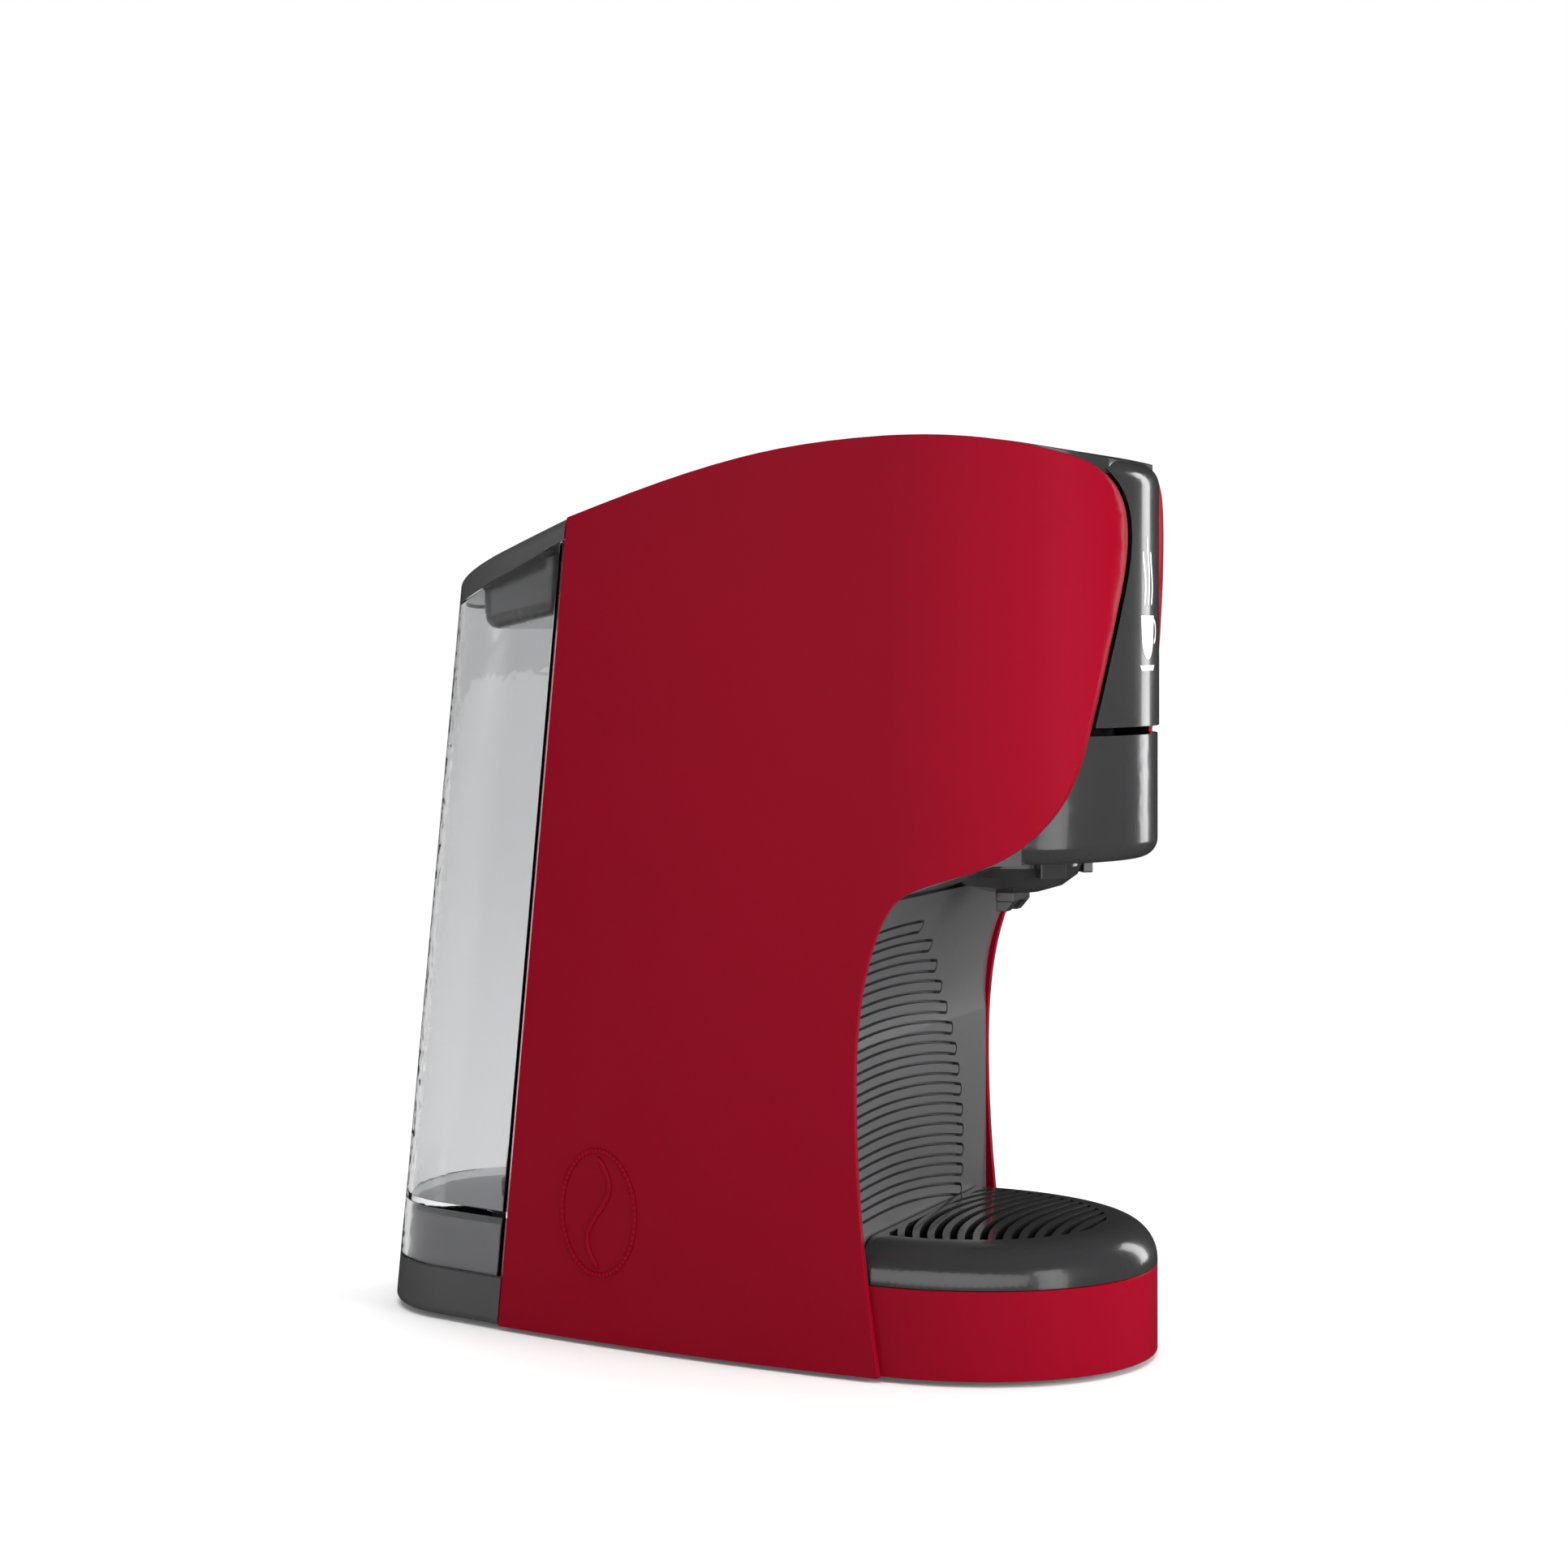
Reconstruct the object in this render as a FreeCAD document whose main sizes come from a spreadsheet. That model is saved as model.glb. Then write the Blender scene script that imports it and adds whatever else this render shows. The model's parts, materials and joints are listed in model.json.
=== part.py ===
import FreeCAD, Part

import math
import os

import Sketcher

from FreeCAD import Placement, Rotation, Vector

# Slim pod espresso machine, millimetres. The front faces -Y, +X is the machine's right as
# seen from the front, +Z is up. The origin is the centre of the foot print on the table.
# "Depth" below always means the distance behind the front plane of the machine.

SIZES = {
    # plan outline: half ellipse nose, long flank arcs, rounded corners, shallow tail arc
    "total_length": 279.6,
    "half_width": 61.1,
    "nose_length": 72.1,
    "flank_radius": 762.6,
    "corner_radius": 38.4,
    "tail_radius": 150.0,
    # skins
    "skin": 2.4,
    "wall": 2.4,
    "shell_bottom": 1.5,
    "moving_gap": 0.9,
    # lean of the seam between the body and the water tank
    "seam_foot": 219.1,
    "seam_lean": 0.1075,
    "tail_lean": 0.1168,
    # base and drip tray
    "ring_bottom": 1.8,
    "ring_top": 30.3,
    "plate_thickness": 3.0,
    "tray_top": 43.8,
    "tray_round": 12.5,
    "tray_rear": 80.3,
    "slot_pitch": 5.2,
    "slot_width": 2.5,
    "slot_bow": 105.0,
    "slot_field": 0.73,
    # head
    "head_floor": 164.0,
    "head_rim": 204.6,
    "head_round": 6.0,
    "hood_rim": 207.2,
    "hood_inset": 1.9,
    "hood_thickness": 3.4,
    "hood_rear": 88.0,
    "cover_front": 91.0,
    "spine_width": 21.0,
    "hood_round": 8.0,
    "crown_thickness": 5.0,
    # alcove
    "alcove_depth": 81.4,
    "alcove_thickness": 4.2,
    "rib_pitch": 6.9,
    "rib_width": 2.7,
    "rib_groove": 1.0,
    "rib_depth": 2.4,
    "rib_apex": -33.0,
    "rib_bow": 350.0,
    # brew group
    "brew_depth": 50.0,
    "piston_radius": 22.0,
    "piston_foot": 202.0,
    "piston_lift": 12.0,
    "guide_bore": 22.35,
    "guide_foot": 212.0,
    "guide_height": 24.0,
    "feed_level": 16.6,
    "seal_spread": 4.0,
    "seal_radius": 1.3,
    "seat_foot": 192.0,
    "piston_height": 26.0,
    "hood_swing": 60.0,
    "hinge_depth": 104.0,
    "hinge_height": 288.0,
    "hinge_pin_radius": 2.5,
    "cross_pin_radius": 3.0,
    "cross_pin_height": 240.0,
    "cam_offset": 30.0,
    "cam_thickness": 3.0,
    "cam_clearance": 0.45,
    "running_fit": 0.08,
    "frame_offset": 38.5,
    "frame_thickness": 2.5,
    # water tank
    "tank_foot": 18.2,
    "tank_floor": 38.0,
    "tank_wall": 2.2,
    "shelf_top": 17.8,
    "pedestal_top": 35.6,
    "lid_round": 3.5,
    "valve_depth": 232.0,
    "hose_radius": 3.0,
    "line_height": 9.2,
    "gland_height": 9.0,
    "gland_radius": 4.9,
    "gland_depth": 272.6,
    "gland_flange": 2.2,
    "lead_radius": 2.6,
    # controls
    "button_depth": 136.0,
    "button_spread": 13.0,
    "button_radius": 8.0,
    "board_height": 264.0,
    "foot_radius": 6.5,
}

doc = FreeCAD.newDocument("espresso_machine")
sheet = doc.addObject("Spreadsheet::Sheet", "Sizes")
for row, (alias, value) in enumerate(SIZES.items(), 1):
    sheet.set(f"A{row}", alias)
    sheet.set(f"B{row}", str(value))
    sheet.setAlias(f"B{row}", alias)
doc.recompute()

REACH = 100.0
nodes = []


def size(alias):
    return float(sheet.get(alias))


def back(depth):
    """Y of a point at a depth behind the front plane; the hood starts just behind that plane."""
    return depth - (size("total_length") + size("hood_inset")) / 2


def keep(obj, label):
    """Name an object as a sub-part of the machine."""
    obj.Label = label
    nodes.append(obj)
    return obj


def feature(label, shape):
    """A sub-part whose shape is worked out from the sheet with Part's functions."""
    obj = doc.addObject("Part::Feature", label)
    obj.Shape = shape.removeSplitter()
    return keep(obj, label)


# ---------------------------------------------------------------- outline and profile shapes


def arc_about(centre, start, end):
    """The shorter arc from start to end about a centre."""
    middle = (start - centre) + (end - centre)
    middle.normalize()
    return Part.Arc(start, centre + middle * (start - centre).Length, end).toShape()


def mirrored(point):
    return Vector(-point.x, point.y, point.z)


def circles_meet(first, first_radius, second, second_radius):
    """The meeting point of two circles that lies on the left of the line between them."""
    across = second - first
    span = across.Length
    along = (first_radius ** 2 - second_radius ** 2 + span ** 2) / (2 * span)
    rise = math.sqrt(first_radius ** 2 - along ** 2)
    across.normalize()
    sideways = Vector(-across.y, across.x, 0)
    return first + across * along + sideways * rise


def plan_outline(inset):
    """The machine's plan outline, drawn a distance inside the outer skin."""
    half_width = size("half_width") - inset
    nose = size("nose_length") - inset
    flank = size("flank_radius") - inset
    corner = size("corner_radius") - inset
    tail = size("tail_radius") - inset
    shoulder = Vector(half_width, back(size("nose_length")), 0)
    centre = Vector(0, shoulder.y, 0)
    flank_centre = shoulder - Vector(flank, 0, 0)
    tail_centre = Vector(0, back(size("total_length") - size("tail_radius")), 0)
    corner_centre = circles_meet(flank_centre, flank - corner, tail_centre, tail - corner)
    flank_end = flank_centre + (corner_centre - flank_centre).normalize() * flank
    tail_end = tail_centre + (corner_centre - tail_centre).normalize() * tail
    ellipse = Part.Ellipse(centre - Vector(0, nose, 0), shoulder, centre)
    left = [mirrored(point) for point in (flank_centre, shoulder, flank_end, corner_centre, tail_end)]
    return Part.Wire([
        Part.ArcOfEllipse(ellipse, -math.pi / 2, math.pi / 2).toShape(),
        arc_about(flank_centre, shoulder, flank_end),
        arc_about(corner_centre, flank_end, tail_end),
        arc_about(tail_centre, tail_end, left[4]),
        arc_about(left[3], left[4], left[2]),
        arc_about(left[0], left[2], left[1]),
    ])


def prism(inset, bottom, top):
    """Upright prism on the plan outline."""
    face = Part.Face(plan_outline(inset))
    face.translate(Vector(0, 0, bottom))
    return face.extrude(Vector(0, 0, top - bottom))


def side_point(depth, height):
    return Vector(-REACH, back(depth), height)


def side_lines(points):
    """Straight edges through points given as depth and height."""
    return Part.makePolygon([side_point(*point) for point in points]).Edges


def side_spline(points):
    """Smooth edge through points given as depth and height."""
    curve = Part.BSplineCurve()
    curve.interpolate([side_point(*point) for point in points])
    return curve.toShape()


def across(edges):
    """Solid with a side profile, right across the machine."""
    wire = Part.Wire(Part.__sortEdges__(edges))
    return Part.Face(wire).extrude(Vector(2 * REACH, 0, 0))


def block(x_range, depth_range, height_range):
    corner = Vector(x_range[0], back(depth_range[0]), height_range[0])
    spans = [end - start for start, end in (x_range, depth_range, height_range)]
    return Part.makeBox(*spans, corner)


def seam(height):
    """Depth of the leaning seam between the body and the water tank."""
    return size("seam_foot") - size("seam_lean") * height


# Crown line of the machine from the front of the shells to the tank seam.
CROWN = [(17.3, 293.9), (31.0, 297.5), (54.5, 299.95), (81.5, 299.4), (110.0, 296.4),
         (140.0, 290.2), (189.43, 276.0)]
# Front edge of the side shells, from the crown round the head and down the alcove to the base.
SHELL_FRONT = [(17.3, 293.9), (8.6, 287.4), (5.0, 271.2), (6.7, 245.2), (12.4, 206.6),
               (20.1, 181.1), (33.9, 166.6), (55.4, 158.2), (66.7, 152.8), (73.9, 141.0),
               (79.1, 121.4), (81.1, 88.0), (79.2, 50.0), (72.9, 1.5)]
# Crown line of the hood, which carries on to the front of the nose.
HOOD_CROWN = [(-4.0, 290.6), (16.5, 294.9), (31.0, 297.7), (54.5, 299.9), (81.5, 299.2),
              (110.0, 296.0)]


def lowered(stations, drop):
    return [(depth, height - drop) for depth, height in stations]


def below(stations, drop, floor):
    """Everything under a crown line, down to a floor height."""
    line = lowered(stations, drop)
    legs = side_lines([line[-1], (line[-1][0], floor), (line[0][0], floor), line[0]])
    return across([side_spline(line)] + legs)


def shell_profile():
    """Side profile of a shell, as edges."""
    foot = (seam(SHELL_FRONT[-1][1]), SHELL_FRONT[-1][1])
    legs = side_lines([SHELL_FRONT[-1], foot, CROWN[-1]])
    return [side_spline(CROWN), side_spline(SHELL_FRONT)] + legs


def shifted(stations, gap):
    """Stations moved square to their smooth line, to its left when the gap is positive."""
    curve = Part.BSplineCurve()
    curve.interpolate([side_point(*point) for point in stations])
    moved = []
    for depth, height in stations:
        tangent = curve.tangent(curve.parameter(side_point(depth, height)))[0]
        moved.append((depth - tangent.z * gap, height + tangent.y * gap))
    return moved


def shell_zone(gap):
    """The shells' side profile, grown by a gap, right across the machine."""
    crown = shifted(CROWN, gap)
    front = shifted(SHELL_FRONT, -gap)
    foot = (seam(front[-1][1]), front[-1][1])
    legs = side_lines([front[-1], foot, crown[-1]]) + side_lines([crown[0], front[0]])
    return across([side_spline(crown), side_spline(front)] + legs)


def tank_section(height, inset, front_gap):
    """Rear part of the plan at a height: flat front, straight sides, rounded corners and tail."""
    taper = 0.212
    front = seam(height) + front_gap
    offset = size("nose_length")
    flank = size("flank_radius")
    half = size("half_width") - flank + math.sqrt(flank ** 2 - (seam(height) - offset) ** 2)
    slope = math.hypot(1, taper)
    half -= taper * front_gap + inset * slope
    tail = size("tail_radius") - inset
    corner = size("corner_radius") - inset
    rear = size("total_length") - size("tail_lean") * height - inset
    tail_centre = Vector(0, back(rear - tail), height)
    # the corner centre lies on the side line moved in by the corner radius
    start = Vector(half - corner * slope, back(front), height)
    line = Vector(-taper, 1, 0)
    line.normalize()
    to_start = start - tail_centre
    along = line.dot(to_start)
    rest = to_start.dot(to_start) - (tail - corner) ** 2
    centre = start + line * (-along + math.sqrt(along ** 2 - rest))
    side_end = centre + Vector(line.y, -line.x, 0) * corner
    tail_end = tail_centre + (centre - tail_centre).normalize() * tail
    front_corner = Vector(half, back(front), height)
    return Part.Wire([
        Part.LineSegment(mirrored(front_corner), front_corner).toShape(),
        Part.LineSegment(front_corner, side_end).toShape(),
        arc_about(centre, side_end, tail_end),
        arc_about(tail_centre, tail_end, mirrored(tail_end)),
        arc_about(mirrored(centre), mirrored(tail_end), mirrored(side_end)),
        Part.LineSegment(mirrored(side_end), mirrored(front_corner)).toShape(),
    ])


def tank_block(bottom, top, inset, front_gap):
    """Leaning block behind the seam."""
    sections = [tank_section(height, inset, front_gap) for height in (bottom, top)]
    return Part.makeLoft(sections, True, True)


# ---------------------------------------------------------------- outer skins


def side_shells():
    """Glossy side panels that wrap the whole body from the alcove to the tank seam."""
    skin = size("skin")
    tall = prism(0, 0, 310).cut(prism(skin, 0, 310))
    both = tall.common(across(shell_profile()))
    left = both.common(block((-REACH, 0), (-10, 300), (0, 310)))
    right = both.common(block((0, REACH), (-10, 300), (0, 310)))
    feature("left_side_shell", left)
    feature("right_side_shell", right)


def top_cover():
    """Black cover between the shells, behind the hood, with a hole for each button."""
    strip = below(CROWN, 0.8, 200).cut(below(CROWN, 0.8 + size("wall"), 190))
    depths = (size("cover_front"), seam(276) - 0.3)
    plate = strip.common(prism(size("skin"), 200, 310)).common(block((-REACH, REACH), depths, (200, 310)))
    for side in (-1, 1):
        place = Vector(side * size("button_spread"), back(size("button_depth")), 250)
        plate = plate.cut(Part.makeCylinder(size("button_radius") + 0.4, 60, place))
    feature("top_cover", plate)


def bulkhead():
    """Leaning wall between the body and the tank, with the hole for the water line."""
    wall = size("wall")
    low = size("ring_bottom") + size("plate_thickness")
    edges = side_lines([(seam(low) - wall - 0.2, low), (seam(low) - 0.2, low),
                        (seam(272) - 0.2, 272), (seam(272) - wall - 0.2, 272),
                        (seam(low) - wall - 0.2, low)])
    plate = across(edges).common(prism(size("skin"), 0, 310))
    feature("tank_bulkhead", plate.cut(line_hole()))


def line_hole():
    """Clearance for the water line where it passes forward under the tank."""
    return Part.makeCylinder(size("hose_radius") + 1, 20, Vector(0, back(206), size("line_height")),
                             Vector(0, 1, 0))


def head_front():
    """Fixed lower part of the head: a front apron with a floor that the spout hangs from."""
    wall = size("wall")
    floor = size("head_floor")
    rim = size("head_rim")
    inset = size("skin")
    rear = 66.0
    drop = 154.0
    bowl = prism(inset, floor, rim)
    rounded = [edge for edge in bowl.Edges if edge.BoundBox.ZMax < floor + 0.01]
    bowl = bowl.makeFillet(size("head_round"), rounded)
    bowl = bowl.common(block((-REACH, REACH), (-5, rear), (100, 300)))
    chin_edge = side_lines([(30, floor + 8), (rear, floor + 8), (rear, drop), (38, floor), (30, floor),
                            (30, floor + 8)])
    chin = prism(inset, drop - 5, rim).common(across(chin_edge))
    hollow = side_lines([(-5, rim + 1), (rear + 1, rim + 1), (rear + 1, drop + wall - 0.4),
                         (38, floor + wall), (-5, floor + wall), (-5, rim + 1)])
    inside = prism(inset + wall, floor - 20, rim + 1).common(across(hollow))
    apron = bowl.fuse(chin)
    throat = Part.makeCylinder(24, 40, Vector(0, back(size("brew_depth")), 140))
    feature("head_front", apron.cut(inside).cut(throat))


def hood():
    """Lifting hood: the upper front panel and the crown between the shells, in one piece."""
    inset = size("hood_inset")
    gap = size("moving_gap")
    rim = size("hood_rim")
    ramp = across(side_lines([(-5, 290.0), (110, 314.5), (110, 100), (-5, 100), (-5, 290.0)]))
    nose = prism(inset, rim, 330).common(ramp)
    nose = nose.common(block((-REACH, REACH), (-5, 60), (100, 330)))
    edges = [line for line in nose.Edges
             if line.BoundBox.ZMin > 280 and line.BoundBox.YMin < back(10) and line.BoundBox.XLength > 60]
    nose = nose.makeFillet(size("hood_round"), edges).common(below(HOOD_CROWN, 0, 100))
    nose = nose.cut(shell_zone(gap))
    inside = prism(inset + size("hood_thickness"), 150, 310)
    inside = inside.common(below(HOOD_CROWN, size("crown_thickness"), 100))
    nose = nose.cut(inside)
    crown = below(HOOD_CROWN, 0, 200).cut(below(HOOD_CROWN, size("crown_thickness"), 190))
    crown = crown.common(prism(size("skin") + gap, 200, 310))
    crown = crown.common(block((-REACH, REACH), (9, size("hood_rear")), (200, 310)))
    half = size("spine_width") / 2
    spine = prism(inset, rim, 310).common(below(HOOD_CROWN, 2, 100))
    spine = spine.common(block((-half, half), (0, 8.5), (rim, 290)))
    scoop = Part.makeSphere(38, Vector(0, back(27), 332.5))
    feature("hood", nose.fuse([crown, spine]).cut(scoop))


def alcove_wall():
    """Ribbed wall behind the cup, from the ceiling of the alcove down to the base."""
    depth = size("alcove_depth")
    low = size("ring_bottom") + size("plate_thickness")

    def strip(thickness):
        front = Part.Arc(side_point(depth - 13, 152.5), side_point(depth - 3.2, 133), side_point(depth, 105))
        rear = Part.Arc(side_point(depth - 13 + thickness, 152.5 + thickness * 0.4),
                        side_point(depth - 3.2 + thickness, 133 + thickness * 0.3),
                        side_point(depth + thickness, 105))
        legs = side_lines([(depth, 105), (depth, low), (depth + thickness, low), (depth + thickness, 105)])
        cap = side_lines([(depth - 13, 152.5), (depth - 13 + thickness, 152.5 + thickness * 0.4)])
        return across([front.toShape(), rear.toShape()] + legs + cap)

    wall = strip(size("alcove_thickness")).common(prism(size("skin"), 0, 310))
    layer = strip(size("rib_depth"))
    for groove in rib_grooves():
        wall = wall.cut(layer.common(groove))
    feature("alcove_wall", wall)


def rib_grooves():
    """Grooves round bowed ribs; the ribs' round ends step back along an arc."""
    reach_centre = Vector(-41.5, 0, 68.3)
    reach_radius = 76.0
    grooves = []
    for index in range(14):
        top = 141.0 - index * size("rib_pitch")
        end = reach_centre.x + math.sqrt(reach_radius ** 2 - (top - reach_centre.z) ** 2)
        half = size("rib_width") / 2
        rib = bowed_bar(top, end, half)
        grooves.append(bowed_bar(top, end, half + size("rib_groove")).cut(rib))
    return grooves


def bowed_bar(top, end, half):
    """Bar that follows the bow of the ribs out to a round end, through the depth of the wall."""
    bow = size("rib_bow")
    apex = size("rib_apex")
    centre = Vector(apex, back(60), top - bow)
    ahead = Vector(0, 1, 0)
    bar = Part.makeCylinder(bow + half, 40, centre, ahead)
    bar = bar.cut(Part.makeCylinder(bow - half, 40, centre, ahead))
    bar = bar.common(block((-REACH, end), (60, 100), (top - 20, top + 10)))
    height = math.sqrt(bow ** 2 - (end - apex) ** 2)
    return bar.fuse(Part.makeCylinder(half, 40, Vector(end, back(60), centre.z + height), ahead))


def base_ring():
    """Red ring round the nose of the base, which the drip tray sits in."""
    ring = prism(size("skin"), size("ring_bottom"), size("ring_top"))
    ring = ring.cut(prism(size("skin") + size("wall"), 0, 60))
    feature("base_ring", ring.common(block((-REACH, REACH), (-5, size("alcove_depth")), (0, 60))))


def drip_cover():
    """Domed tray cover with bowed drain slots, which lifts off the tray."""
    bottom = size("ring_top") + 0.2
    top = size("tray_top")
    rear = size("tray_rear")
    window = block((-REACH, REACH), (-5, rear), (0, 60))

    def dome(inset, low, high, radius):
        body = prism(inset, low, high).common(window)
        rim = [edge for edge in body.Edges
               if edge.BoundBox.ZMin > high - 0.01 and edge.BoundBox.YMin < back(rear - 5)]
        return body.makeFillet(radius, rim)

    wall = size("wall")
    outer = dome(size("skin"), bottom, top, size("tray_round"))
    inner = dome(size("skin") + wall, bottom - 15, top - wall, size("tray_round") - wall)
    inner = inner.common(block((-REACH, REACH), (-5, rear - wall), (0, 60)))
    shell = outer.cut(inner)
    shell = shell.cut(shell_zone(0.6).cut(prism(size("skin") + 0.6, 0, 60)))
    for slot in drain_slots():
        shell = shell.cut(slot)
    feature("drip_cover", shell)


def drain_slots():
    """Bowed slots across the tray cover, which end on an oval inside its rounded edge."""
    bow = size("slot_bow")
    half = size("slot_width") / 2
    share = size("slot_field")
    field = Part.Ellipse(Vector(0, back(size("nose_length")) - size("nose_length") * share, 0),
                         Vector(size("half_width") * share, back(size("nose_length")), 0),
                         Vector(0, back(size("nose_length")), 0))
    oval = Part.Face(Part.Wire(field.toShape()))
    oval.translate(Vector(0, 0, size("tray_top") - 8))
    oval = oval.extrude(Vector(0, 0, 20))
    oval = oval.common(block((-REACH, REACH), (0, size("tray_rear") - size("wall") - 0.2), (0, 60)))
    slots = []
    for index in range(13):
        apex = 21.8 + index * size("slot_pitch")
        centre = Vector(0, back(apex - bow), size("tray_top") - 8)
        ring = Part.makeCylinder(bow + half, 20, centre)
        ring = ring.cut(Part.makeCylinder(bow - half, 20, centre))
        slots.append(ring.common(oval))
    return slots


def drip_tub():
    """Catch tray inside the base ring, open upward."""
    wall = 1.8
    inset = size("skin") + size("wall") + 0.7
    bottom = size("ring_bottom") + size("plate_thickness") + 0.2
    top = size("ring_top") - 0.6
    rear = size("tray_rear") - 1.5
    tub = prism(inset, bottom, top).common(block((-REACH, REACH), (-5, rear), (0, 60)))
    inside = prism(inset + wall, bottom + wall, top + 5)
    inside = inside.common(block((-REACH, REACH), (-5, rear - wall), (0, 60)))
    feature("drip_tub", tub.cut(inside))


def base_plate():
    """Floor of the whole machine."""
    low = size("ring_bottom")
    plate = prism(size("skin") + size("wall"), low, low + size("plate_thickness"))
    plate = plate.cut(block((-REACH, REACH), (seam(0) - 1, 300), (0, 60)))
    feature("base_plate", plate)


def rear_shelf():
    """Dark shelf behind the body that carries the tank pedestal."""
    low = size("shell_bottom")
    top = size("shelf_top")
    wall = size("wall")
    shelf = tank_block(low, top, 0, 0.4)
    bottom_edges = [edge for edge in shelf.Edges
                    if edge.BoundBox.ZMax < low + 0.01 and edge.BoundBox.YMax > back(225)]
    shelf = shelf.makeFillet(2.5, bottom_edges)
    hollow = tank_block(low - 1, top - wall, wall, 0.4 + wall)
    gland = Part.makeCylinder(size("gland_radius") + 0.2, 20, Vector(0, back(270), size("gland_height")),
                              Vector(0, 1, 0))
    drain = Part.makeCylinder(5.3, 20, Vector(0, back(size("valve_depth")), 8))
    feature("rear_shelf", shelf.cut([hollow, gland, drain, line_hole()]))


def tank_pedestal():
    """Grey block inside the tank's skirt, with a well for the valve socket."""
    gap = size("tank_wall") + 0.8
    body = tank_block(size("shelf_top"), size("pedestal_top"), gap, gap + 0.5)
    hollow = tank_block(size("shelf_top") - 1, size("pedestal_top") - 3, gap + 3, gap + 3.5)
    well = Part.makeCylinder(9.4, 40, Vector(0, back(size("valve_depth")), 10))
    feature("tank_pedestal", body.cut(hollow).cut(well))


# Lower edge of the lid on the side of the tank, flatter towards the tail.
LID_EDGE = [(185.0, 270.9), (209.6, 260.5), (226.0, 253.4), (240.4, 248.5), (262.0, 245.2), (290.0, 244.0)]
# Crown line of the lid, from the seam to the tail.
LID_CROWN = [(186.0, 277.4), (203.0, 271.2), (224.3, 263.1), (240.0, 257.0), (262.0, 249.5)]


def water_tank():
    """Clear leaning tank with a skirt that slips over the pedestal."""
    wall = size("tank_wall")
    gap = 0.5
    foot = size("tank_foot")
    floor = size("tank_floor")
    outer = tank_block(foot, 285, 0, gap).common(below(LID_EDGE, 0.2, 0))
    room = tank_block(floor + wall, 290, wall, gap + wall)
    skirt = tank_block(foot - 2, floor, wall, gap + wall)
    port = Part.makeCylinder(6.5, 30, Vector(0, back(size("valve_depth")), floor - 5))
    feature("water_tank", outer.cut(room).cut(skirt).cut(port))


def grip_pocket(inset, top):
    """Tapered finger pocket under the lid, in the mouth of the tank."""
    lower = [(201 + inset, 244 + inset), (231 - inset, 237.5 + inset)]
    edges = side_lines([(200 + inset, top), lower[0], lower[1], (232 - inset, top), (200 + inset, top)])
    half = 37 - inset
    pocket = across(edges).common(block((-half, half), (190, 250), (200, 300)))
    corners = [edge for edge in pocket.Edges if edge.BoundBox.ZMin < 250 and edge.Length < 100]
    return pocket.makeFillet(5 - inset, corners)


def faces_up(face):
    u_low, u_high, v_low, v_high = face.ParameterRange
    return face.normalAt((u_low + u_high) / 2, (v_low + v_high) / 2).z > 0.5


def tank_lid():
    """Grey lid that follows the crown line, with a finger pocket sunk into it."""
    band = tank_block(200, 300, 0, 0.5).common(below(LID_CROWN, 0, 150)).cut(below(LID_EDGE, 0, 0))
    top = next(face for face in band.Faces if faces_up(face))
    rim = [edge for edge in top.Edges if edge.CenterOfMass.y > back(195)]
    band = band.makeFillet(size("lid_round"), rim)
    pocket = grip_pocket(0, 285).common(below(LID_EDGE, -1, 0))
    feature("tank_lid", band.fuse(pocket).cut(grip_pocket(2, 300)))


# ---------------------------------------------------------------- sketch based pieces


def new_body(label, origin=(0, 0, 0)):
    body = doc.addObject("PartDesign::Body", label)
    body.Placement = Placement(Vector(*origin), Rotation())
    return keep(body, label)


def sketch_on(body, name, role, offset=0.0):
    """Sketch on one of the body's own origin planes."""
    plane = next(item for item in body.Origin.OriginFeatures if item.Role == role)
    sketch = body.newObject("Sketcher::SketchObject", name)
    sketch.AttachmentSupport = [(plane, "")]
    sketch.MapMode = "FlatFace"
    sketch.AttachmentOffset = Placement(Vector(0, 0, offset), Rotation())
    return sketch


def draw_polygon(sketch, points):
    """Closed chain of lines with joined ends."""
    count = len(points)
    first = sketch.GeometryCount
    for index in range(count):
        start = Vector(*points[index], 0)
        end = Vector(*points[(index + 1) % count], 0)
        sketch.addGeometry(Part.LineSegment(start, end), False)
    for index in range(count):
        following = first + (index + 1) % count
        sketch.addConstraint(Sketcher.Constraint("Coincident", first + index, 2, following, 1))


def draw_circle(sketch, centre, radius):
    sketch.addGeometry(Part.Circle(Vector(*centre, 0), Vector(0, 0, 1), radius), False)


def bind_radius(sketch, index, expression):
    """Radius constraint of a drawn circle, bound to the sheet."""
    number = sketch.addConstraint(Sketcher.Constraint("Radius", index, sketch.Geometry[index].Radius))
    sketch.setExpression(f"Constraints[{number}]", expression)


def pad(body, sketch, length, name, midplane=False, expression=None, reverse=False):
    item = body.newObject("PartDesign::Pad", name)
    item.Profile = sketch
    item.Length = length
    item.Midplane = midplane
    item.Reversed = reverse
    if expression:
        item.setExpression("Length", expression)
    body.Tip = item
    return item


def pocket(body, sketch, length, name, midplane=False, reverse=False):
    item = body.newObject("PartDesign::Pocket", name)
    item.Profile = sketch
    item.Length = length
    item.Midplane = midplane
    item.Reversed = reverse
    body.Tip = item
    return item


def turned(label, points, origin):
    """Piece turned about an upright axis; points are radius and height."""
    body = new_body(label, origin)
    sketch = sketch_on(body, label + "_section", "XZ_Plane")
    draw_polygon(sketch, points)
    turn = body.newObject("PartDesign::Revolution", label + "_turn")
    turn.Profile = sketch
    turn.ReferenceAxis = (sketch, ["V_Axis"])
    turn.Angle = 360
    body.Tip = turn
    return body


def primitive(kind, name, **values):
    """Part primitive; text values are expressions on the sheet."""
    obj = doc.addObject("Part::" + kind, name)
    for key, value in values.items():
        if isinstance(value, str):
            obj.setExpression(key, value)
        else:
            setattr(obj, key, value)
    return obj


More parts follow.
